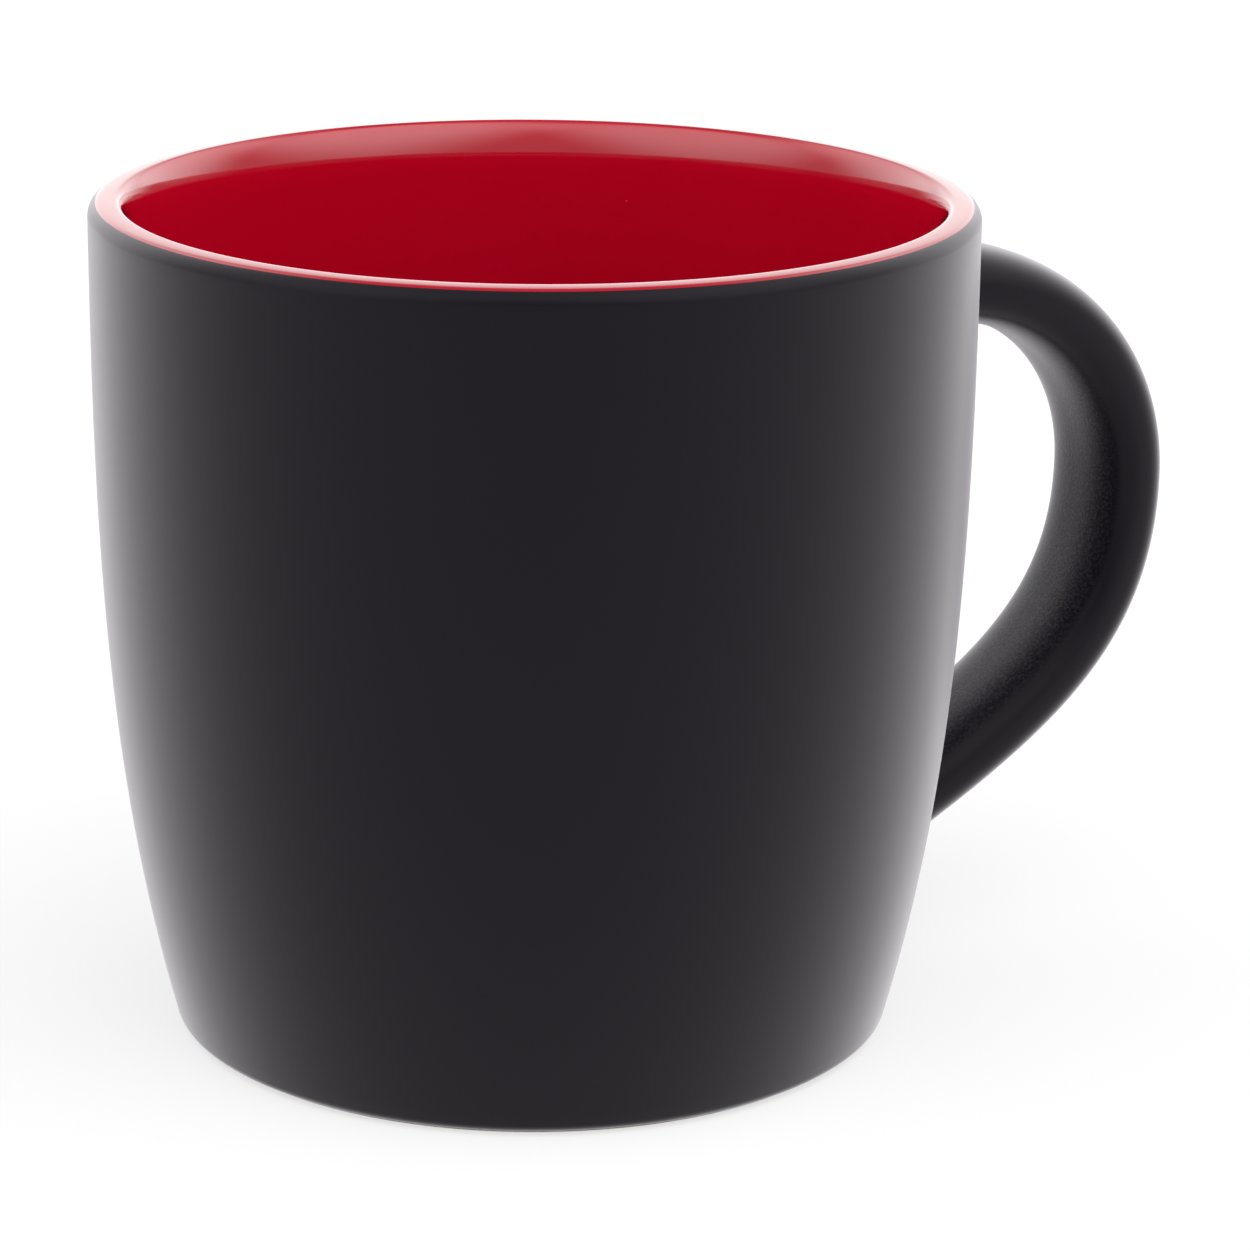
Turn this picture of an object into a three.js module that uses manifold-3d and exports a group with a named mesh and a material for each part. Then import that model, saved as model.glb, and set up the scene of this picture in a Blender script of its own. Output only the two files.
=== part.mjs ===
// Stoneware mug with a cast ear handle, matt black outside and glossy red inside.
// Millimetres, +Z up, standing on z = 0. The handle points along +X, and the origin
// is the middle of the mug's overall box, on the table.
import * as THREE from "three";
import { mergeVertices } from "three/addons/utils/BufferGeometryUtils.js";
import Module from "manifold-3d";

// Finished outside of the cup, over its colours
const rimDiameter = 85;
const height = 82;
const footDiameter = 70.2; // where the line of the wall meets the table
const footCornerRadius = 1.2;

// Clay
const wallThickness = 4; // finished, both colours included
const lipEdgeRadius = 1.2; // outer edge of the lip, next to its level crown
const lipInnerRound = 1.4; // width over which its inner side rounds over
const lipTaper = 5; // and the depth of that
const baseThickness = 5; // finished floor above the recess
const insideCornerRadius = 10;
const footRingWidth = 3.2;
const footRingChamfer = 0.25;
const footRingStand = 0.3; // bare ring below the edge of the black
const recessDepth = 1.8;
const recessSlope = 1.2; // how far the side of the recess leans inwards

// Fired colours
const colourThickness = 0.35;
const colourLineDrop = 0.2; // the red runs this far down over the lip's edge

// Handle, finished sizes
const handleProjection = 29.2; // from the rim's side to its outermost point
const handleThickness = 7.9;
const handleWidth = 13.7;
const handleSquareness = 2.7; // power of the section's superellipse, 2 is an ellipse
const upperJointDrop = 12.5; // below the rim
const lowerJointHeight = 14;
const outermostDrop = 22; // below the upper joint
const upperRise = 2; // degrees above level, where the handle leaves the wall
const lowerRise = 28;
const upperSweep = 15; // lengths of the tangents that draw the handle's line
const crownSweep = 12;
const gripSweep = 17;
const lowerSweep = 20.5;

// Slip joints
const slipFillet = 3; // finished radius between the wall and the handle
const slipBed = 0.8; // slip between the clay wall and the handle's cut end
const slipFeather = 20; // degrees of the fillet left bare at each thin edge
const seatGap = 0.1;

// Facets
const turnSteps = 48;
const wallSteps = 6;
const lipSteps = 5;
const crownSteps = 2;
const shoulderSteps = 3;
const footCornerSteps = 3;
const insideCornerSteps = 4;
const sectionSteps = 20;
const handleStations = 16;
const filletSteps = 4;
const endFaceSteps = 3;
const slideHalvings = 40;

const rimRadius = rimDiameter / 2;
const footRadius = footDiameter / 2;
const floorLevel = recessDepth + baseThickness;
const colourLine = Math.acos(1 - colourLineDrop / lipEdgeRadius); // angle down from the crown
const handleReach = rimRadius + handleProjection;
const quarterTurn = Math.PI / 2;

const stoneware = new THREE.MeshStandardMaterial({ color: 0xd8d0c2, roughness: 0.85, metalness: 0 });
const slip = new THREE.MeshStandardMaterial({ color: 0xcfc6b6, roughness: 0.9, metalness: 0 });
const redGlaze = new THREE.MeshStandardMaterial({ color: 0xa8041f, roughness: 0.12, metalness: 0 });
const blackCoat = new THREE.MeshStandardMaterial({ color: 0x232226, roughness: 0.6, metalness: 0 });

const wasm = await Module();
wasm.setup();

// Outline of the cup: radius across, height up

const flat = (radius, level) => new THREE.Vector2(radius, level);

// The side runs straight down from the rim and sweeps in to the foot.
const wall = new THREE.CubicBezierCurve(
  flat(rimRadius, height),
  flat(rimRadius, (height * 2) / 3),
  flat(rimRadius, height / 3),
  flat(footRadius, 0),
);

// A point of the wall's line, moved in from the finished outside.
function wallPoint(t, inset) {
  const along = wall.getTangent(t);
  return wall.getPoint(t).add(flat(along.y, -along.x).multiplyScalar(inset));
}

// Where a round of this radius, resting on a level, touches the wall's line moved in.
function cornerOnWall(inset, level, radius) {
  let upper = 0;
  let lower = 1;
  for (let i = 0; i < slideHalvings; i++) {
    const middle = (upper + lower) / 2;
    if (wallPoint(middle, inset + radius).y > level + radius) upper = middle;
    else lower = middle;
  }
  const along = wall.getTangent(lower);
  return {
    t: lower,
    centre: wallPoint(lower, inset + radius),
    facing: Math.atan2(along.x, -along.y),
  };
}

const footCorner = cornerOnWall(0, footRingStand, footCornerRadius);
const insideCorner = cornerOnWall(wallThickness, floorLevel, insideCornerRadius);

// Part of a circle, or of an ellipse where its upright radius differs.
function arc(centre, radius, from, to, steps, upright = radius) {
  return Array.from({ length: steps + 1 }, (_, i) => {
    const angle = from + ((to - from) * i) / steps;
    return flat(centre.x + radius * Math.cos(angle), centre.y + upright * Math.sin(angle));
  });
}

// Stretch of the wall's line between the lip and a corner, without its two ends.
function wallStretch(inset, lipDepth, lowest) {
  const top = lipDepth / height;
  return Array.from({ length: wallSteps - 1 }, (_, i) =>
    wallPoint(top + ((lowest - top) * (i + 1)) / wallSteps, inset),
  );
}

const lipEdgeCentre = flat(rimRadius - lipEdgeRadius, height - lipEdgeRadius);
const lipInnerCentre = flat(rimRadius - wallThickness + lipInnerRound, height - lipTaper);

// Top of the lip, from its inner side over the level crown to the colour line.
function lipLine(under) {
  return [
    ...arc(lipInnerCentre, lipInnerRound - under, Math.PI, quarterTurn, lipSteps, lipTaper - under),
    ...arc(lipEdgeCentre, lipEdgeRadius - under, quarterTurn, quarterTurn - colourLine, crownSteps),
  ];
}

// Black side, from the colour line down to the foot ring.
function outsideLine(under) {
  return [
    ...arc(lipEdgeCentre, lipEdgeRadius - under, quarterTurn - colourLine, 0, shoulderSteps),
    ...wallStretch(under, lipEdgeRadius, footCorner.t),
    ...arc(footCorner.centre, footCornerRadius - under, footCorner.facing, -quarterTurn, footCornerSteps),
  ];
}

// Red side, from the middle of the floor up to the lip.
function insideLine(under) {
  return [
    flat(0, floorLevel - under),
    ...arc(
      insideCorner.centre,
      insideCornerRadius + under,
      -quarterTurn,
      insideCorner.facing,
      insideCornerSteps,
    ),
    ...wallStretch(wallThickness - under, lipTaper, insideCorner.t).reverse(),
  ];
}

function turned(line) {
  return new THREE.LatheGeometry(line, turnSteps).rotateX(quarterTurn);
}

function makeBody() {
  const ringOutside = footCorner.centre.x;
  const ringInside = ringOutside - footRingWidth;
  const footLine = [
    flat(0, recessDepth),
    flat(ringInside - recessSlope, recessDepth),
    flat(ringInside, footRingChamfer),
    flat(ringInside + footRingChamfer, 0),
    flat(ringOutside - footRingChamfer, 0),
    flat(ringOutside, footRingChamfer),
  ];
  return turned([
    ...footLine,
    ...outsideLine(colourThickness).reverse(),
    ...lipLine(colourThickness).reverse().slice(1),
    ...insideLine(colourThickness).reverse(),
  ]);
}

function makeInsideGlaze() {
  return turned([
    ...insideLine(colourThickness),
    ...lipLine(colourThickness),
    ...lipLine(0).reverse(),
    ...insideLine(0).reverse(),
  ]);
}

function makeBaseCoat() {
  const edge = footCorner.centre.x - footRingWidth - recessSlope;
  const face = recessDepth - colourThickness;
  return turned([flat(0, face), flat(edge, face), flat(edge, recessDepth), flat(0, recessDepth)]);
}

// Handle: rings of points from the upper joint round to the lower one

const across = new THREE.Vector3(0, 1, 0);
const upwards = new THREE.Vector3(0, 0, 1);

const wallRadius = (level) =>
  rimRadius - (rimRadius - footRadius) * (1 - level / height) ** 3;

const wallLean = (level) =>
  (3 * (rimRadius - footRadius) * (1 - level / height) ** 2) / height;

function jointAt(level, riseDegrees, travel) {
  const rise = THREE.MathUtils.degToRad(riseDegrees);
  const away = new THREE.Vector3(Math.cos(rise), 0, Math.sin(rise));
  const centre = new THREE.Vector3(wallRadius(level), 0, level);
  return { away, travel, ...stationAt(centre, away.clone().multiplyScalar(travel)) };
}

// A station of the handle's line, with the direction that faces outwards there.
function stationAt(centre, along) {
  return { centre, outwards: new THREE.Vector3().crossVectors(along, across) };
}

const upperJoint = jointAt(height - upperJointDrop, upperRise, 1);
const lowerJoint = jointAt(lowerJointHeight, lowerRise, -1);

function handleLine() {
  const outermost = new THREE.Vector3(
    handleReach - handleThickness / 2,
    0,
    upperJoint.centre.z - outermostDrop,
  );
  const moved = (from, direction, length) => from.clone().addScaledVector(direction, length);
  const line = new THREE.CurvePath();
  line.add(
    new THREE.CubicBezierCurve3(
      upperJoint.centre,
      moved(upperJoint.centre, upperJoint.away, upperSweep),
      moved(outermost, upwards, crownSweep),
      outermost,
    ),
  );
  line.add(
    new THREE.CubicBezierCurve3(
      outermost,
      moved(outermost, upwards, -gripSweep),
      moved(lowerJoint.centre, lowerJoint.away, lowerSweep),
      lowerJoint.centre,
    ),
  );
  return line;
}

const rounded = (value) => Math.sign(value) * Math.abs(value) ** (2 / handleSquareness);

// Section of the handle at a station, moved in from the finished surface.
// Its share of the full size shrinks it to fill an end face.
function sectionRing({ centre, outwards }, inset, share = 1) {
  if (share === 0) return [centre.clone()];
  const halfThickness = (handleThickness / 2 - inset) * share;
  const halfWidth = (handleWidth / 2 - inset) * share;
  return Array.from({ length: sectionSteps }, (_, i) => {
    const angle = (2 * Math.PI * i) / sectionSteps;
    return centre
      .clone()
      .addScaledVector(outwards, halfThickness * rounded(Math.cos(angle)))
      .addScaledVector(across, halfWidth * rounded(Math.sin(angle)));
  });
}

// Slides a point along the handle's end until it is this far off the finished wall.
function slideToWall(point, away, lift) {
  let inside = -(handleWidth + slipFillet);
  let outside = -inside;
  for (let i = 0; i < slideHalvings; i++) {
    const middle = (inside + outside) / 2;
    const tried = point.clone().addScaledVector(away, middle);
    const clear = Math.hypot(tried.x, tried.y) - wallRadius(tried.z);
    if (clear < lift * Math.hypot(1, wallLean(tried.z))) inside = middle;
    else outside = middle;
  }
  return point.addScaledVector(away, outside);
}

function endRing(joint, inset, lift, share = 1) {
  return sectionRing(joint, inset, share).map((point) => slideToWall(point, joint.away, lift));
}

// End face that follows the wall, from its middle out to its edge.
function endFace(joint, inset, lift) {
  return Array.from({ length: endFaceSteps + 1 }, (_, i) => endRing(joint, inset, lift, i / endFaceSteps));
}

// Fillet from the wall up to the handle, moved in from the finished surface.
function filletRings(joint, under, fromDegrees, toDegrees) {
  const radius = slipFillet + under;
  return Array.from({ length: filletSteps + 1 }, (_, i) => {
    const angle = THREE.MathUtils.degToRad(fromDegrees + ((toDegrees - fromDegrees) * i) / filletSteps);
    return endRing(joint, radius * Math.sin(angle) - slipFillet, slipFillet - radius * Math.cos(angle));
  });
}

// Length of handle line that a joint's fillet takes up.
function jointLength(joint) {
  const reach = endRing(joint, 0, slipFillet).map((point) => point.sub(joint.centre).dot(joint.away));
  return Math.max(...reach);
}

const line = handleLine();
const lineLength = line.getLength();
const stationGap = lineLength / (handleStations + 2);
const firstStation = (jointLength(upperJoint) + stationGap / 2) / lineLength;
const lastStation = 1 - (jointLength(lowerJoint) + stationGap / 2) / lineLength;

const stations = Array.from({ length: handleStations }, (_, i) => {
  const share = firstStation + ((lastStation - firstStation) * i) / (handleStations - 1);
  return stationAt(line.getPoint(share), line.getTangent(share));
});

// Skin through a list of rings; a ring of one point closes an end.
function loft(rings, looped = false) {
  const starts = rings.map((_, i) => rings.slice(0, i).flat().length);
  const vertex = (i, j) => starts[i] + (j % rings[i].length);
  const index = [];
  rings.forEach((_, i) => {
    if (i === rings.length - 1 && !looped) return;
    const next = (i + 1) % rings.length;
    for (let j = 0; j < sectionSteps; j++) {
      const [a, b] = [vertex(i, j), vertex(i, j + 1)];
      const [c, d] = [vertex(next, j), vertex(next, j + 1)];
      if (a !== b) index.push(a, c, b);
      if (c !== d) index.push(b, c, d);
    }
  });
  const geometry = new THREE.BufferGeometry().setFromPoints(rings.flat()).setIndex(index);
  geometry.computeVertexNormals();
  return geometry;
}

// Skin through rings that lead away from the wall, whichever way the handle's line runs there.
function loftFromWall(joint, rings) {
  return loft(joint.travel > 0 ? rings : rings.reverse());
}

const bedLift = slipBed - colourThickness;

function makeHandle() {
  return loft([
    ...endFace(upperJoint, colourThickness, bedLift),
    endRing(upperJoint, colourThickness, slipFillet),
    ...stations.map((station) => sectionRing(station, colourThickness)),
    endRing(lowerJoint, colourThickness, slipFillet),
    ...endFace(lowerJoint, colourThickness, bedLift).reverse(),
  ]);
}

// A dish of slip: a bed under the handle's end, and a fillet wiped round it.
function makeSlipJoint(joint) {
  const handleSide = colourThickness - seatGap;
  const brim = slipFillet - (slipFillet + colourThickness) * Math.sin(THREE.MathUtils.degToRad(slipFeather));
  return loftFromWall(joint, [
    ...endFace(joint, -slipFillet, seatGap - colourThickness).slice(0, -1),
    ...filletRings(joint, colourThickness, slipFeather, 90 - slipFeather),
    endRing(joint, handleSide, brim),
    ...endFace(joint, handleSide, bedLift - seatGap).reverse(),
  ]);
}

function makeHandleCoat() {
  const under = colourThickness - seatGap;
  const skin = (depth) => [
    ...filletRings(upperJoint, depth, 0, 90),
    ...stations.map((station) => sectionRing(station, depth)),
    ...filletRings(lowerJoint, depth, 0, 90).reverse(),
  ];
  return loft([...skin(0), ...skin(under).reverse()], true);
}

// Black coat on the side, open where the slip joints stand on the clay

function toSolid(geometry) {
  const bare = geometry.clone();
  bare.deleteAttribute("normal");
  bare.deleteAttribute("uv");
  const merged = mergeVertices(bare);
  return new wasm.Manifold(
    new wasm.Mesh({
      numProp: 3,
      vertProperties: merged.attributes.position.array,
      triVerts: new Uint32Array(merged.index.array),
    }),
  );
}

function toGeometry(solid) {
  const { vertProperties, triVerts } = solid.getMesh();
  const geometry = new THREE.BufferGeometry()
    .setAttribute("position", new THREE.BufferAttribute(vertProperties, 3))
    .setIndex(new THREE.BufferAttribute(triVerts, 1));
  geometry.computeVertexNormals();
  return geometry;
}

// Plug through the coat, as wide as the foot of a slip joint.
function jointPlug(joint) {
  const grown = -(slipFillet + seatGap);
  return loftFromWall(joint, [
    ...endFace(joint, grown, -wallThickness / 2),
    ...endFace(joint, grown, wallThickness / 2).reverse(),
  ]);
}

function makeOutsideCoat() {
  const coatLine = [...outsideLine(0).reverse(), ...outsideLine(colourThickness)];
  const shell = toSolid(turned([...coatLine, coatLine[0]]));
  const plugs = [upperJoint, lowerJoint].map((joint) => toSolid(jointPlug(joint)));
  return toGeometry(plugs.reduce((left, plug) => left.subtract(plug), shell));
}

const mug = new THREE.Group();
mug.position.x = (rimRadius - handleReach) / 2;

function add(name, geometry, material) {
  const piece = new THREE.Mesh(geometry, material);
  piece.name = name;
  mug.add(piece);
}

add("stoneware_body", makeBody(), stoneware);
add("handle", makeHandle(), stoneware);
add("upper_slip_joint", makeSlipJoint(upperJoint), slip);
add("lower_slip_joint", makeSlipJoint(lowerJoint), slip);
add("inside_glaze", makeInsideGlaze(), redGlaze);
add("outside_coat", makeOutsideCoat(), blackCoat);
add("handle_coat", makeHandleCoat(), blackCoat);
add("base_coat", makeBaseCoat(), blackCoat);

export default mug;
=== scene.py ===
# A stoneware mug, matt black outside and glossy red inside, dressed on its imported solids.
# Everything is in metres, in the frame of those solids.
import math

import bmesh
import bpy
import numpy as np
from mathutils import Matrix, Vector


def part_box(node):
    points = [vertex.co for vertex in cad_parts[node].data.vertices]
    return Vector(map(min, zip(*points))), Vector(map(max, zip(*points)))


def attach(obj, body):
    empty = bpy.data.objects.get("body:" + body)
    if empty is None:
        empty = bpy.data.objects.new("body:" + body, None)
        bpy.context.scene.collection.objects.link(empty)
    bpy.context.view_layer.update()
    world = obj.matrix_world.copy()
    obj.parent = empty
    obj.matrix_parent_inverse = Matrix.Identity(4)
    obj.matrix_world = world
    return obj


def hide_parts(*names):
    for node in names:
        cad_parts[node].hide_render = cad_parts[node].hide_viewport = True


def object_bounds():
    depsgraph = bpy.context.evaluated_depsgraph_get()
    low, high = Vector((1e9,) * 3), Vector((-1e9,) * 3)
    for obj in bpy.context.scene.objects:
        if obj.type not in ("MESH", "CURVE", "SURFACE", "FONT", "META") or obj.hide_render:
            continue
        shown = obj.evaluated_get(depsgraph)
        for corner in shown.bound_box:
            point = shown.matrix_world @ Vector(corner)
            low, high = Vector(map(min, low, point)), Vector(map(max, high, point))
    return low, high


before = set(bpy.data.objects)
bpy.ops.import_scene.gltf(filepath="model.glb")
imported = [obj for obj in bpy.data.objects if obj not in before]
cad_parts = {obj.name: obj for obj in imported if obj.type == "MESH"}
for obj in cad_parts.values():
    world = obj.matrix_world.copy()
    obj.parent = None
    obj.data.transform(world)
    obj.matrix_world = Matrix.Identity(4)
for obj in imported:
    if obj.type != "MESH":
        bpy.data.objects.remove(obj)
cadLow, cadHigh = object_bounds()
mm = 0.001
scene = bpy.context.scene
scene.view_settings.view_transform = "Standard"

coatLow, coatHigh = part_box("outside_coat")
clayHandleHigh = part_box("handle")[1]
axisX = (coatLow.x + coatHigh.x) / 2  # the cup's axis
rimRadius = (coatHigh.y - coatLow.y) / 2
height = cadHigh.z
print("frame: rim radius %.1f mm, height %.1f mm" % (rimRadius / mm, height / mm))


# Camera

shot = {
    "turn": math.radians(-28),  # round the cup's axis, from straight in front
    "distance": 429.2 * mm,
    "eyeHeight": 167.0 * mm,
    "yaw": 0.0209,
    "pitch": 0.2892,
    "roll": 0.0111,
    "lens": 131.6,
    "sensor": 36.0,
    "clipStart": 10 * mm,
}


def placeCamera():
    data = bpy.data.cameras.new("shotCamera")
    data.lens = shot["lens"]
    data.sensor_width = shot["sensor"]
    data.clip_start = shot["clipStart"]
    camera = bpy.data.objects.new("shotCamera", data)
    scene.collection.objects.link(camera)
    yaw, pitch = shot["yaw"], shot["pitch"]
    forward = Vector((math.sin(yaw) * math.cos(pitch), math.cos(yaw) * math.cos(pitch), -math.sin(pitch)))
    right = Vector((math.cos(yaw), -math.sin(yaw), 0))
    up = right.cross(forward)
    aim = Matrix((right, up, -forward)).transposed()
    aim = aim @ Matrix.Rotation(shot["roll"], 3, "Z")
    turn = Matrix.Rotation(shot["turn"], 4, "Z")
    stand = Matrix.Translation((0, -shot["distance"], shot["eyeHeight"]))
    camera.matrix_world = Matrix.Translation((axisX, 0, 0)) @ turn @ stand @ aim.to_4x4()
    scene.camera = camera
    print("camera placed")


# Small helpers for node trees and pieces

meshing = {
    "mergeGap": 0.0005 * mm,
    "sharpAngle": math.radians(32),  # edges that turn by more stay sharp
}


def put(tree, kind, inputs=None, **settings):  # one node, with its settings and sockets filled in
    node = tree.nodes.new(kind)
    for name, value in settings.items():
        setattr(node, name, value)
    for key, value in (inputs or {}).items():
        if isinstance(value, bpy.types.NodeSocket):
            tree.links.new(value, node.inputs[key])
        else:
            node.inputs[key].default_value = value
    return node


def maths(tree, operation, first, second=0.0):
    return put(tree, "ShaderNodeMath", {0: first, 1: second}, operation=operation).outputs[0]


def socketsOf(tree, direction, kinds):
    for name, kind in kinds.items():
        tree.interface.new_socket(name, in_out=direction, socket_type="NodeSocket" + kind)


def pieceFrom(name, mesh, material):
    piece = bpy.data.objects.new(name, mesh)
    scene.collection.objects.link(piece)
    mesh.name = name
    mesh.materials.clear()
    mesh.materials.append(material)
    return piece


def cleanMesh(mesh):  # doubles merged, faces turned outwards, smooth but for real edges
    work = bmesh.new()
    work.from_mesh(mesh)
    bmesh.ops.remove_doubles(work, verts=work.verts, dist=meshing["mergeGap"])
    bmesh.ops.recalc_face_normals(work, faces=work.faces)
    work.to_mesh(mesh)
    work.free()
    mesh.shade_smooth()
    mesh.set_sharp_from_angle(angle=meshing["sharpAngle"])


def standFor(piece, node):
    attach(piece, "root")
    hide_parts(node)
    print("%s: %d faces" % (piece.name, len(piece.data.polygons)))


# Finishes

coatLook = {
    "black": (0.0034, 0.0016, 0.0050, 1),
    "dusty": (0.0046, 0.0026, 0.0062, 1),
    "dryAndPaintedSheen": (0.034, 0.028, 0.040, 1),  # grainy spray, and painted sheen that lightens the handle's side towards the cup
    "roughness": (0.28, 0.36),
    "specular": 0.06,
    "clear": 1.0,  # smoother top of the fired coat
    "clearIor": 1.15,
    "clearRoughness": 0.32,
    "sheen": 1.0,
    "sheenRoughness": 0.38,
    "sheenTint": (0.98, 0.93, 1.0, 1),
    "grainSize": 0.28 * mm,
    "grainDepth": 0.011 * mm,
    "dryGrain": 9.0,  # how much higher the grain stands there
    "fleckFrom": 0.44,  # heights of the grain between which it turns pale there, as spray grain and as painted sheen
    "fleckTo": 0.62,
    "driftSize": 14 * mm,  # slow change of tone
}
glazeLook = {
    "red": (0.46, 0.0004, 0.013, 1),
    "thin": (0.50, 0.0018, 0.019, 1),
    "roughness": (0.04, 0.07),
    "specular": 0.5,
    "clear": 1.0,  # clear top of the glaze
    "clearRoughness": 0.05,
    "waveSize": 9 * mm,
    "waveDepth": 0.02 * mm,
    "driftSize": 22 * mm,
    "pinholeSpacing": 7 * mm,
    "pinholeRadius": 0.22 * mm,
    "pinholeDepth": 3.0,  # in waves
}
clayLook = {
    "pale": (0.72, 0.65, 0.55, 1),
    "dark": (0.56, 0.49, 0.40, 1),
    "roughness": (0.78, 0.92),
    "grainSize": 0.25 * mm,
    "grainDepth": 0.03 * mm,
    "driftSize": 3 * mm,
}
slipLook = {
    "pale": (0.64, 0.58, 0.49, 1),
    "dark": (0.50, 0.44, 0.36, 1),
    "roughness": (0.82, 0.94),
    "grainSize": 0.18 * mm,
    "grainDepth": 0.02 * mm,
    "driftSize": 3 * mm,
}
firedGrain = {
    "fineDetail": 2.0,
    "fineRoughness": 0.55,
    "pits": 0.45,  # for each grain's width
    "speckCore": 0.08,  # in pits
    "speckEdge": 0.3,
    "driftDetail": 3.0,
}


def makeGrainGroup():  # fine grain for height, dark specks, and a slow drift of tone
    tree = bpy.data.node_groups.new("firedGrain", "ShaderNodeTree")
    socketsOf(tree, "INPUT", {"Vector": "Vector", "Grain Size": "Float", "Drift Size": "Float"})
    socketsOf(tree, "OUTPUT", {"Height": "Float", "Specks": "Float", "Drift": "Float"})
    start = tree.nodes.new("NodeGroupInput").outputs
    end = tree.nodes.new("NodeGroupOutput").inputs
    fine = put(tree, "ShaderNodeTexNoise", {
        "Vector": start["Vector"],
        "Scale": maths(tree, "DIVIDE", 1.0, start["Grain Size"]),
        "Detail": firedGrain["fineDetail"],
        "Roughness": firedGrain["fineRoughness"],
    })
    pits = put(tree, "ShaderNodeTexVoronoi", {
        "Vector": start["Vector"],
        "Scale": maths(tree, "DIVIDE", firedGrain["pits"], start["Grain Size"]),
    })
    slow = put(tree, "ShaderNodeTexNoise", {
        "Vector": start["Vector"],
        "Scale": maths(tree, "DIVIDE", 1.0, start["Drift Size"]),
        "Detail": firedGrain["driftDetail"],
    })
    specks = put(tree, "ShaderNodeMapRange", {
        "Value": pits.outputs["Distance"],
        "From Min": firedGrain["speckCore"],
        "From Max": firedGrain["speckEdge"],
        "To Min": 1.0,
        "To Max": 0.0,
    })
    tree.links.new(fine.outputs[0], end["Height"])
    tree.links.new(specks.outputs[0], end["Specks"])
    tree.links.new(slow.outputs[0], end["Drift"])
    return tree


def newFinish(name):
    material = bpy.data.materials.new(name)
    material.use_nodes = True
    tree = material.node_tree
    shader = tree.nodes["Principled BSDF"]
    coords = put(tree, "ShaderNodeTexCoord").outputs["Object"]
    return material, tree, shader, coords


def spread(tree, value, low, high):  # a value of 0 to 1, spread over a range
    return put(tree, "ShaderNodeMapRange", {"Value": value, "To Min": low, "To Max": high}).outputs[0]


def blendColours(tree, factor, first, second):
    mix = put(tree, "ShaderNodeMix", {"Factor": factor, "A": first, "B": second}, data_type="RGBA")
    return mix.outputs["Result"]


def useGrain(tree, grain, coords, grainSize, driftSize):
    node = put(tree, "ShaderNodeGroup", node_tree=grain)
    tree.links.new(coords, node.inputs["Vector"])
    node.inputs["Grain Size"].default_value = grainSize
    node.inputs["Drift Size"].default_value = driftSize
    return node.outputs


def addBump(tree, shader, heightSocket, depth):
    bump = put(tree, "ShaderNodeBump", {"Height": heightSocket, "Strength": 1.0, "Distance": depth})
    tree.links.new(bump.outputs[0], shader.inputs["Normal"])


def coatFinish(grain):
    look = coatLook
    material, tree, shader, coords = newFinish("mattBlackCoat")
    shader.inputs["Specular IOR Level"].default_value = look["specular"]
    shader.inputs["Coat Weight"].default_value = look["clear"]
    shader.inputs["Coat IOR"].default_value = look["clearIor"]
    shader.inputs["Coat Roughness"].default_value = look["clearRoughness"]
    shader.inputs["Sheen Weight"].default_value = look["sheen"]
    shader.inputs["Sheen Roughness"].default_value = look["sheenRoughness"]
    shader.inputs["Sheen Tint"].default_value = look["sheenTint"]
    marks = useGrain(tree, grain, coords, look["grainSize"], look["driftSize"])
    dryAndPaintedSheen = put(tree, "ShaderNodeAttribute", attribute_name="oversprayAndPaintedSheen").outputs["Fac"]
    toned = blendColours(tree, marks["Drift"], look["black"], look["dusty"])
    flecks = put(tree, "ShaderNodeMapRange", {
        "Value": marks["Height"],
        "From Min": look["fleckFrom"],
        "From Max": look["fleckTo"],
    }).outputs[0]
    # Painted sheen: on the handle's side towards the cup the coat is paled in flecks, partly real spray
    # grain, partly standing in for the light that face catches
    colour = blendColours(tree, maths(tree, "MULTIPLY", dryAndPaintedSheen, flecks), toned, look["dryAndPaintedSheen"])
    tree.links.new(colour, shader.inputs["Base Color"])
    tree.links.new(spread(tree, marks["Height"], *look["roughness"]), shader.inputs["Roughness"])
    raised = maths(tree, "MULTIPLY", marks["Height"], spread(tree, dryAndPaintedSheen, 1.0, look["dryGrain"]))
    addBump(tree, shader, raised, look["grainDepth"])
    return material


def glazeFinish(grain):
    look = glazeLook
    material, tree, shader, coords = newFinish("glossyRedGlaze")
    shader.inputs["Specular IOR Level"].default_value = look["specular"]
    shader.inputs["Coat Weight"].default_value = look["clear"]
    shader.inputs["Coat Roughness"].default_value = look["clearRoughness"]
    marks = useGrain(tree, grain, coords, look["waveSize"], look["driftSize"])
    colour = blendColours(tree, marks["Drift"], look["red"], look["thin"])
    tree.links.new(colour, shader.inputs["Base Color"])
    tree.links.new(spread(tree, marks["Drift"], *look["roughness"]), shader.inputs["Roughness"])
    bubbles = put(tree, "ShaderNodeTexVoronoi", {"Vector": coords, "Scale": 1 / look["pinholeSpacing"]})
    pits = put(tree, "ShaderNodeMapRange", {
        "Value": bubbles.outputs["Distance"],
        "From Max": look["pinholeRadius"] / look["pinholeSpacing"],
        "To Min": look["pinholeDepth"],
        "To Max": 0.0,
    }).outputs[0]
    addBump(tree, shader, maths(tree, "SUBTRACT", marks["Height"], pits), look["waveDepth"])
    return material


def clayFinish(name, look, grain):
    material, tree, shader, coords = newFinish(name)
    marks = useGrain(tree, grain, coords, look["grainSize"], look["driftSize"])
    toned = blendColours(tree, marks["Drift"], look["pale"], look["dark"])
    colour = blendColours(tree, marks["Specks"], toned, look["dark"])
    tree.links.new(colour, shader.inputs["Base Color"])
    tree.links.new(spread(tree, marks["Height"], *look["roughness"]), shader.inputs["Roughness"])
    addBump(tree, shader, marks["Height"], look["grainDepth"])
    return material


# Outline of the cup: points of radius and height, from the finished outside inwards

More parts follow.
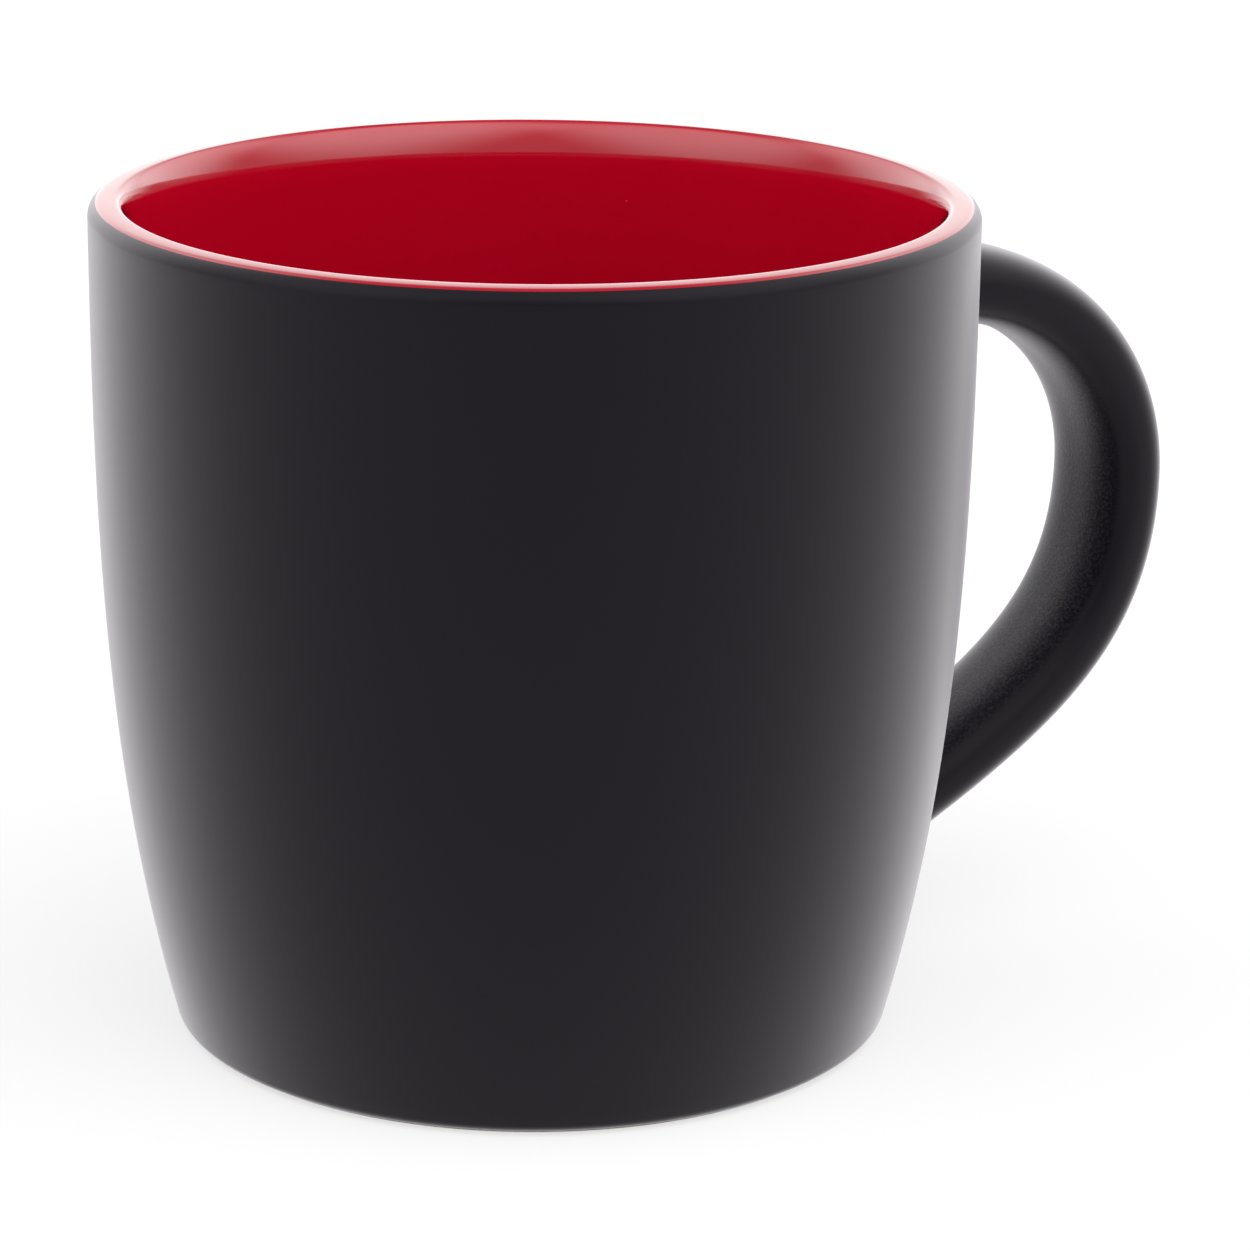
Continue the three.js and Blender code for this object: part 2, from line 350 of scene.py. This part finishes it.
cup = {
    "footRadius": 35.1 * mm,  # where the line of the wall meets the table
    "footCorner": 1.2 * mm,
    "sweepPower": 3,  # of the wall's line, which is upright at the rim
    "wall": 4 * mm,
    "lipEdge": 1.2 * mm,  # outer round, next to the crown
    "lipInner": 1.4 * mm,  # inner round, and its depth
    "lipTaper": 5 * mm,
    "lipFall": 0.3 * mm,  # the crown's fall from its inner side to the outer edge
    "base": 5 * mm,
    "insideCorner": 10 * mm,
    "ringWidth": 3.2 * mm,
    "ringEdge": 0.25 * mm,
    "ringStand": 0.3 * mm,
    "recess": 1.8 * mm,
    "recessSlope": 1.2 * mm,
    "colour": 0.35 * mm,  # thickness of coat and glaze
    "colourDrop": 0.088 * mm,  # how far the red comes down the outer round, without the crown's fall
    "turnSteps": 240,
    "lineStep": 1.2 * mm,
    "arcStep": math.radians(9),
    "arcLeast": 3,
    "crownSteps": 7,
}
floorLevel = cup["recess"] + cup["base"]
sweepIn = rimRadius - cup["footRadius"]
quarter = math.pi / 2
halvings = 50  # of a gap that is searched for a place on the wall


def wallRadius(level):
    return rimRadius - sweepIn * (1 - level / height) ** cup["sweepPower"]


def wallLean(level):  # how fast the wall widens with height
    power = cup["sweepPower"]
    return power * sweepIn / height * (1 - level / height) ** (power - 1)


def wallPoint(level, inset):
    lean = wallLean(level)
    stretch = math.hypot(1, lean)
    return np.array((wallRadius(level) - inset / stretch, level + inset * lean / stretch))


def cornerOnWall(inset, level, radius):  # a round that rests on a level and touches the wall
    low, high = 0.0, height
    for _ in range(halvings):
        middle = (low + high) / 2
        if wallPoint(middle, inset + radius)[1] > level + radius:
            high = middle
        else:
            low = middle
    return {
        "level": low,
        "centre": wallPoint(low, inset + radius),
        "facing": -math.atan(wallLean(low)),
    }


def arc(centre, radius, start, stop, upright=None):
    steps = max(cup["arcLeast"], math.ceil(abs(stop - start) / cup["arcStep"]))
    angles = np.linspace(start, stop, steps + 1)
    tall = radius if upright is None else upright
    return [(centre[0] + radius * math.cos(a), centre[1] + tall * math.sin(a)) for a in angles]


def wallStretch(inset, top, bottom):  # without its two ends
    steps = math.ceil((top - bottom) / cup["lineStep"])
    return [tuple(wallPoint(level, inset)) for level in np.linspace(top, bottom, steps + 1)[1:-1]]


footCorner = cornerOnWall(0, cup["ringStand"], cup["footCorner"])
insideCorner = cornerOnWall(cup["wall"], floorLevel, cup["insideCorner"])
lipEdgeCentre = (rimRadius - cup["lipEdge"], height - cup["lipEdge"])
lipInnerCentre = (rimRadius - cup["wall"] + cup["lipInner"], height - cup["lipTaper"])
colourLine = quarter - math.acos(1 - cup["colourDrop"] / cup["lipEdge"])


def domed(line):  # the crown is highest at its inner side
    width = rimRadius - lipInnerCentre[0]
    shares = [max(0, radius - lipInnerCentre[0]) / width for radius, _ in line]
    return [(point[0], point[1] - cup["lipFall"] * share**2) for point, share in zip(line, shares)]


def lipLine(under):  # from the inner side over the crown to the colour line
    inner = arc(lipInnerCentre, cup["lipInner"] - under, math.pi, quarter, cup["lipTaper"] - under)
    crownX = np.linspace(lipInnerCentre[0], lipEdgeCentre[0], cup["crownSteps"] + 1)[1:-1]
    crown = [(x, height - under) for x in crownX]
    return domed(inner + crown + arc(lipEdgeCentre, cup["lipEdge"] - under, quarter, colourLine))


def outsideLine(under):  # from the colour line down to the foot ring
    shoulder = domed(arc(lipEdgeCentre, cup["lipEdge"] - under, colourLine, 0))
    side = wallStretch(under, height - cup["lipEdge"], footCorner["level"])
    corner = arc(footCorner["centre"], cup["footCorner"] - under, footCorner["facing"], -quarter)
    return shoulder + side + corner


def insideLine(under):  # from the middle of the floor up to the lip
    corner = arc(insideCorner["centre"], cup["insideCorner"] + under, -quarter, insideCorner["facing"])
    side = wallStretch(cup["wall"] - under, height - cup["lipTaper"], insideCorner["level"])
    return [(0, floorLevel - under)] + corner + side[::-1]


def clayLine():
    edge = cup["ringEdge"]
    ringOutside = footCorner["centre"][0]
    ringInside = ringOutside - cup["ringWidth"]
    foot = [(0, cup["recess"]), (ringInside - cup["recessSlope"], cup["recess"])]
    foot += [(ringInside, edge)] + arc((ringInside + edge, edge), edge, math.pi, 1.5 * math.pi)[1:]
    foot += arc((ringOutside - edge, edge), edge, -quarter, 0)
    under = cup["colour"]
    return foot + outsideLine(under)[::-1] + lipLine(under)[::-1][1:] + insideLine(under)[::-1]


def glazeLine():
    under = cup["colour"]
    back = insideLine(under) + lipLine(under)
    return back + lipLine(0)[::-1] + insideLine(0)[::-1]


def coatLine():
    face = outsideLine(0)
    return face + outsideLine(cup["colour"])[::-1] + face[:1]


def baseLine():
    edge = footCorner["centre"][0] - cup["ringWidth"] - cup["recessSlope"]
    face = cup["recess"] - cup["colour"]
    return [(0, face), (edge, face), (edge, cup["recess"]), (0, cup["recess"])]


# Turned pieces: a line of points set round the cup's axis by a node tree


def makeTurnTree():
    tree = bpy.data.node_groups.new("turnedPiece", "GeometryNodeTree")
    socketsOf(tree, "INPUT", {
        "Line": "Geometry",
        "Turn Steps": "Int",
        "Axis X": "Float",
        "Finish": "Material",
    })
    socketsOf(tree, "OUTPUT", {"Turned": "Geometry"})
    start = tree.nodes.new("NodeGroupInput").outputs
    end = tree.nodes.new("NodeGroupOutput").inputs
    size = put(tree, "GeometryNodeAttributeDomainSize", {"Geometry": start["Line"]}, component="MESH")
    count = size.outputs["Point Count"]
    grid = put(tree, "GeometryNodeMeshGrid", {
        "Vertices X": maths(tree, "ADD", start["Turn Steps"], 1.0),
        "Vertices Y": count,
    })
    index = put(tree, "GeometryNodeInputIndex").outputs[0]
    onLine = put(tree, "FunctionNodeIntegerMath", {0: index, 1: count}, operation="MODULO").outputs[0]
    column = put(tree, "FunctionNodeIntegerMath", {0: index, 1: count}, operation="DIVIDE_FLOOR").outputs[0]
    place = put(tree, "GeometryNodeInputPosition").outputs[0]
    point = put(tree, "GeometryNodeSampleIndex", {
        "Geometry": start["Line"],
        "Value": place,
        "Index": onLine,
    }, data_type="FLOAT_VECTOR").outputs[0]
    parts = put(tree, "ShaderNodeSeparateXYZ", {0: point}).outputs
    share = maths(tree, "DIVIDE", column, start["Turn Steps"])
    angle = maths(tree, "MULTIPLY", share, 2 * math.pi)
    forward = maths(tree, "MULTIPLY", parts["X"], maths(tree, "COSINE", angle))
    turnedTo = put(tree, "ShaderNodeCombineXYZ", {
        "X": maths(tree, "ADD", start["Axis X"], forward),
        "Y": maths(tree, "MULTIPLY", parts["X"], maths(tree, "SINE", angle)),
        "Z": parts["Z"],
    }).outputs[0]
    turned = put(tree, "GeometryNodeSetPosition", {"Geometry": grid.outputs["Mesh"], "Position": turnedTo})
    closed = put(tree, "GeometryNodeMergeByDistance", {
        "Geometry": turned.outputs[0],
        "Distance": meshing["mergeGap"],
    })
    real = put(tree, "GeometryNodeRealizeInstances", {"Geometry": closed.outputs[0]})
    dressed = put(tree, "GeometryNodeSetMaterial", {
        "Geometry": real.outputs[0],
        "Material": start["Finish"],
    })
    tree.links.new(dressed.outputs[0], end["Turned"])
    return tree


def inputId(tree, name):
    return next(item.identifier for item in tree.interface.items_tree if item.name == name)


def turnPiece(name, line, tree, finish):
    mesh = bpy.data.meshes.new(name + "Line")
    points = [(radius, 0, level) for radius, level in line]
    mesh.from_pydata(points, [(i, i + 1) for i in range(len(points) - 1)], [])
    blank = bpy.data.objects.new(name + "Line", mesh)
    scene.collection.objects.link(blank)
    wheel = blank.modifiers.new("turning", "NODES")
    wheel.node_group = tree
    wheel[inputId(tree, "Turn Steps")] = cup["turnSteps"]
    wheel[inputId(tree, "Axis X")] = axisX
    wheel[inputId(tree, "Finish")] = finish
    graph = bpy.context.evaluated_depsgraph_get()
    turned = bpy.data.meshes.new_from_object(blank.evaluated_get(graph))
    blank.modifiers.clear()
    bpy.data.objects.remove(blank)
    cleanMesh(turned)
    return pieceFrom(name, turned, finish)


# Handle: rings of points from the upper joint round to the lower one

handle = {
    "thickness": 7.9 * mm,
    "width": 2 * (clayHandleHigh.y + cup["colour"]),
    "innerSquareness": 2.7,  # powers of the section's superellipse, towards the cup and away from it
    "outerSquareness": 2.45,
    "reach": cadHigh.x - axisX,
    "upperDrop": 12.5 * mm,
    "lowerHeight": 14 * mm,
    "outermostDrop": 22 * mm,
    "upperRise": math.radians(2),
    "lowerRise": math.radians(28),
    "upperSweep": 15 * mm,
    "crownSweep": 12 * mm,
    "gripSweep": 17 * mm,
    "lowerSweep": 20.5 * mm,
    "fillet": 3 * mm,
    "slipBed": 0.8 * mm,
    "slipFeather": math.radians(20),
    "seatGap": 0.1 * mm,
    "lap": 0.5 * mm,  # coat of the handle over the edge of the coat on the wall
    "skirt": 0.25 * mm,  # its hidden edge, past the fillet and just under the wall's face
    "skirtSink": 0.01 * mm,
    "sectionSteps": 88,
    "stations": 110,
    "filletSteps": 14,
    "endFaceSteps": 6,
    "linePoints": 2000,
    "dryAndPaintedSheenFrom": 0.62,  # spray grain and painted sheen on the side towards the cup, in halves of the thickness
    "dryAndPaintedSheenRise": 0.33,
}
acrossY = np.array((0.0, 1.0, 0.0))
upZ = np.array((0.0, 0.0, 1.0))
ringAngles = np.linspace(0, 2 * math.pi, handle["sectionSteps"], endpoint=False)


def rounded(values):  # sines or cosines, for a superellipse
    square = np.where(np.cos(ringAngles) > 0, handle["outerSquareness"], handle["innerSquareness"])
    return np.sign(values) * np.abs(values) ** (2 / square)


def jointAt(level, rise, travel):
    away = np.array((math.cos(rise), 0.0, math.sin(rise)))
    centre = np.array((wallRadius(level), 0.0, level))
    return {"centre": centre, "away": away, "outwards": np.cross(away * travel, acrossY)}


upperJoint = jointAt(height - handle["upperDrop"], handle["upperRise"], 1)
lowerJoint = jointAt(handle["lowerHeight"], handle["lowerRise"], -1)


def bezier(points, shares):
    a, b, c, d = points
    s = shares[:, None]
    return a * (1 - s) ** 3 + 3 * b * s * (1 - s) ** 2 + 3 * c * s**2 * (1 - s) + d * s**3


def handleLine():  # centre line, closely spaced
    shares = np.linspace(0, 1, handle["linePoints"])
    top, foot = upperJoint["centre"], lowerJoint["centre"]
    far = np.array((handle["reach"] - handle["thickness"] / 2, 0.0, top[2] - handle["outermostDrop"]))
    crown = [top, top + upperJoint["away"] * handle["upperSweep"], far + upZ * handle["crownSweep"], far]
    grip = [far, far - upZ * handle["gripSweep"], foot + lowerJoint["away"] * handle["lowerSweep"], foot]
    return np.vstack((bezier(crown, shares), bezier(grip, shares)[1:]))


def sectionRing(station, inset, share=1.0):
    if share == 0:
        return station["centre"][None, :].copy()
    halfThick = (handle["thickness"] / 2 - inset) * share
    halfWide = (handle["width"] / 2 - inset) * share
    thick = np.outer(halfThick * rounded(np.cos(ringAngles)), station["outwards"])
    wide = np.outer(halfWide * rounded(np.sin(ringAngles)), acrossY)
    return station["centre"] + thick + wide


def slideToWall(points, away, lift):  # along the handle's end, until this far off the finished wall
    inside = np.full(len(points), -(handle["width"] + handle["fillet"]))
    outside = -inside
    for _ in range(halvings):
        middle = (inside + outside) / 2
        tried = points + middle[:, None] * away
        clear = np.hypot(tried[:, 0], tried[:, 1]) - wallRadius(tried[:, 2])
        short = clear < lift * np.hypot(1, wallLean(tried[:, 2]))
        inside = np.where(short, middle, inside)
        outside = np.where(short, outside, middle)
    return points + outside[:, None] * away


def endRing(joint, inset, lift, share=1.0):
    return slideToWall(sectionRing(joint, inset, share), joint["away"], lift)


def endFace(joint, inset, lift):  # from its middle out to its edge
    shares = np.linspace(0, 1, handle["endFaceSteps"] + 1)
    return [endRing(joint, inset, lift, share) for share in shares]


def filletRings(joint, under, start, stop):
    radius = handle["fillet"] + under
    angles = np.linspace(start, stop, handle["filletSteps"] + 1)
    return [
        endRing(joint, radius * math.sin(a) - handle["fillet"], handle["fillet"] - radius * math.cos(a))
        for a in angles
    ]


def jointLength(joint):
    reach = (endRing(joint, 0, handle["fillet"]) - joint["centre"]) @ joint["away"]
    return reach.max()


def handleStations():
    line = handleLine()
    steps = np.linalg.norm(np.diff(line, axis=0), axis=1)
    run = np.concatenate(([0], np.cumsum(steps)))
    gap = run[-1] / (handle["stations"] + 2)
    first = jointLength(upperJoint) + gap
    last = run[-1] - jointLength(lowerJoint) - gap
    along = np.gradient(line, run, axis=0)
    found = []
    for place in np.linspace(first, last, handle["stations"]):
        centre = np.array([np.interp(place, run, line[:, k]) for k in range(3)])
        heading = np.array([np.interp(place, run, along[:, k]) for k in range(3)])
        heading /= np.linalg.norm(heading)
        found.append({"centre": centre, "outwards": np.cross(heading, acrossY)})
    return found


stations = handleStations()


def loft(name, rings, finish, looped=False):  # a skin through rings, where a ring of one point is a pole
    starts = np.cumsum([0] + [len(ring) for ring in rings])
    corners = np.vstack(rings) + (axisX, 0, 0)
    faces = []
    pairs = list(zip(range(len(rings) - 1), range(1, len(rings))))
    if looped:
        pairs.append((len(rings) - 1, 0))
    for i, k in pairs:
        for j in range(handle["sectionSteps"]):
            quad = [
                starts[i] + j % len(rings[i]),
                starts[k] + j % len(rings[k]),
                starts[k] + (j + 1) % len(rings[k]),
                starts[i] + (j + 1) % len(rings[i]),
            ]
            faces.append(list(dict.fromkeys(quad)))
    mesh = bpy.data.meshes.new(name)
    mesh.from_pydata(corners.tolist(), [], faces)
    cleanMesh(mesh)
    return pieceFrom(name, mesh, finish)


bedLift = handle["slipBed"] - cup["colour"]


def makeClayHandle(finish):
    under = cup["colour"]
    return loft("clayHandle", [
        *endFace(upperJoint, under, bedLift),
        endRing(upperJoint, under, handle["fillet"]),
        *[sectionRing(station, under) for station in stations],
        endRing(lowerJoint, under, handle["fillet"]),
        *endFace(lowerJoint, under, bedLift)[::-1],
    ], finish)


def makeSlip(name, joint, finish):  # a bed under the handle's end, and a fillet wiped round it
    under = cup["colour"]
    gap = handle["seatGap"]
    feather = handle["slipFeather"]
    brim = handle["fillet"] - (handle["fillet"] + under) * math.sin(feather)
    return loft(name, [
        *endFace(joint, -handle["fillet"], gap - under)[:-1],
        *filletRings(joint, under, feather, quarter - feather),
        endRing(joint, under - gap, brim),
        *endFace(joint, under - gap, bedLift - gap)[::-1],
    ], finish)


def coatRings(joint):  # from the handle's inner skin round the thin edge on the wall, to its outer skin
    under = cup["colour"] - handle["seatGap"]
    opening = -(handle["fillet"] - handle["lap"])
    turnIn = math.asin((handle["fillet"] + opening) / (handle["fillet"] + under))
    inner = filletRings(joint, under, quarter, turnIn)
    edge = endRing(joint, -(handle["fillet"] + handle["skirt"]), -handle["skirtSink"])
    return inner + [endRing(joint, opening, 0), edge] + filletRings(joint, 0, 0, quarter)


def markOversprayAndPaintedSheen(piece):  # the side towards the cup, where the spray reaches only sideways, paled there as painted sheen too
    corners = np.array([corner.co for corner in piece.data.vertices]) - (axisX, 0, 0)
    middles = np.array([station["centre"] for station in stations])
    outwards = np.array([station["outwards"] for station in stations])
    nearest = np.linalg.norm(corners[:, None, ::2] - middles[None, :, ::2], axis=2).argmin(axis=1)
    depth = ((middles[nearest] - corners) * outwards[nearest]).sum(axis=1) / (handle["thickness"] / 2)
    clear = np.hypot(corners[:, 0], corners[:, 1]) - wallRadius(corners[:, 2])
    fade = np.clip(clear / handle["fillet"] - 1, 0, 1)  # none on the fillets
    dryAndPaintedSheen = np.clip((depth - handle["dryAndPaintedSheenFrom"]) / handle["dryAndPaintedSheenRise"], 0, 1)
    # this layer pales that side of the coat: spray grain, and painted sheen
    layer = piece.data.attributes.new("oversprayAndPaintedSheen", "FLOAT", "POINT")
    layer.data.foreach_set("value", dryAndPaintedSheen * fade)
    return piece


def makeHandleCoat(finish):
    half = handle["filletSteps"] + 2
    upper, lower = coatRings(upperJoint), coatRings(lowerJoint)
    under = cup["colour"] - handle["seatGap"]
    return loft("blackHandle", [
        *upper[half:],
        *[sectionRing(station, 0) for station in stations],
        *lower[half:][::-1],
        *lower[:half][::-1],
        *[sectionRing(station, under) for station in stations][::-1],
        *upper[:half],
    ], finish, looped=True)


def openCoat(coat):  # cuts the seats of the two slip joints out of the coat on the wall
    opening = -(handle["fillet"] - handle["lap"])
    for joint in (upperJoint, lowerJoint):
        depth = cup["wall"] / 2
        plug = loft("plug", [
            *endFace(joint, opening, -depth),
            *endFace(joint, opening, depth)[::-1],
        ], coat.data.materials[0])
        cut = coat.modifiers.new("seat", "BOOLEAN")
        cut.operation = "DIFFERENCE"
        cut.solver = "EXACT"
        cut.object = plug
        graph = bpy.context.evaluated_depsgraph_get()
        opened = bpy.data.meshes.new_from_object(coat.evaluated_get(graph))
        coat.modifiers.clear()
        coat.data = opened
        bpy.data.objects.remove(plug)
    cleanMesh(coat.data)
    return coat


# Floor, world and light

studio = {
    "floorColour": (0.38, 0.38, 0.38, 1),
    "floorGlow": 0.63,
    "floorRadius": 4.0,
    "floorSegments": 96,
    "floorDrop": 0.02 * mm,
    "surround": 0.58,
    "glows": {  # way to the camera's right, behind the mug and up, outer and inner edge in degrees, strength
        "back": ((0.0, 1.0, 0.1), 30, 6, 1.3),
        "leftBack": ((-0.80, 0.70, 0.45), 40, 5, 1.6),
        "rightBack": ((0.80, 0.70, 0.45), 40, 5, 1.7),
        "leftFront": ((-0.75, -0.60, 0.70), 48, 8, 1.6),
        "rightFront": ((0.75, -0.60, 0.85), 50, 8, 1.95),
        "backAbove": ((0.0, 1.0, 1.0), 50, 15, -0.42),
    },
}


def whereSeen(tree):  # 1 where the camera sees the background, by itself or in a mirror or through glass
    path = put(tree, "ShaderNodeLightPath").outputs
    mirrored = maths(tree, "MAXIMUM", path["Is Glossy Ray"], path["Is Transmission Ray"])
    return maths(tree, "MAXIMUM", path["Is Camera Ray"], mirrored)


def makeFloor():
    work = bmesh.new()
    segments, radius = studio["floorSegments"], studio["floorRadius"]
    bmesh.ops.create_circle(work, cap_ends=True, segments=segments, radius=radius)
    mesh = bpy.data.meshes.new("floor")
    work.to_mesh(mesh)
    work.free()
    material = bpy.data.materials.new("paleFloor")
    material.use_nodes = True
    tree = material.node_tree
    tree.nodes.clear()
    seen = whereSeen(tree)
    matt = put(tree, "ShaderNodeBsdfDiffuse", {"Color": studio["floorColour"]})
    glow = put(tree, "ShaderNodeEmission", {"Strength": maths(tree, "MULTIPLY", seen, studio["floorGlow"])})
    lit = put(tree, "ShaderNodeAddShader", {0: matt.outputs[0], 1: glow.outputs[0]})
    clear = put(tree, "ShaderNodeBsdfTransparent")
    back = put(tree, "ShaderNodeNewGeometry").outputs["Backfacing"]
    sided = put(tree, "ShaderNodeMixShader", {0: back, 1: lit.outputs[0], 2: clear.outputs[0]})
    end = put(tree, "ShaderNodeOutputMaterial", {"Surface": sided.outputs[0]})
    end.is_active_output = True
    floor = pieceFrom("floor", mesh, material)
    floor.location = (axisX, 0, -studio["floorDrop"])


def makeWorld():  # a pale tent with soft glows at its sides and back, and a darker patch above the back
    world = bpy.data.worlds.new("studioWorld")
    scene.world = world
    world.use_nodes = True
    tree = world.node_tree
    tree.nodes.clear()
    turn = Matrix.Rotation(shot["turn"], 3, "Z")
    direction = put(tree, "ShaderNodeTexCoord").outputs["Generated"]
    strength = studio["surround"]
    for place, outer, inner, level in studio["glows"].values():
        middle = turn @ Vector(place).normalized()
        facing = put(tree, "ShaderNodeVectorMath", {0: direction, 1: middle}, operation="DOT_PRODUCT")
        glow = put(tree, "ShaderNodeMapRange", {
            "Value": facing.outputs["Value"],
            "From Min": math.cos(math.radians(outer)),
            "From Max": math.cos(math.radians(inner)),
            "To Max": level,
        }, interpolation_type="SMOOTHSTEP").outputs[0]
        strength = maths(tree, "ADD", glow, strength)
    tent = put(tree, "ShaderNodeBackground", {"Strength": strength})
    put(tree, "ShaderNodeOutputWorld", {"Surface": tent.outputs[0]})


placeCamera()
grain = makeGrainGroup()
mattBlack = coatFinish(grain)
redGlaze = glazeFinish(grain)
bareClay = clayFinish("bareStoneware", clayLook, grain)
drySlip = clayFinish("firedSlip", slipLook, grain)
print("finishes made")

turnTree = makeTurnTree()
standFor(turnPiece("clayCup", clayLine(), turnTree, bareClay), "stoneware_body")
standFor(turnPiece("redInside", glazeLine(), turnTree, redGlaze), "inside_glaze")
standFor(openCoat(turnPiece("blackOutside", coatLine(), turnTree, mattBlack)), "outside_coat")
standFor(turnPiece("blackBase", baseLine(), turnTree, mattBlack), "base_coat")
standFor(makeClayHandle(bareClay), "handle")
standFor(makeSlip("upperSlip", upperJoint, drySlip), "upper_slip_joint")
standFor(makeSlip("lowerSlip", lowerJoint, drySlip), "lower_slip_joint")
standFor(markOversprayAndPaintedSheen(makeHandleCoat(mattBlack)), "handle_coat")

makeFloor()
makeWorld()
print("studio lit")
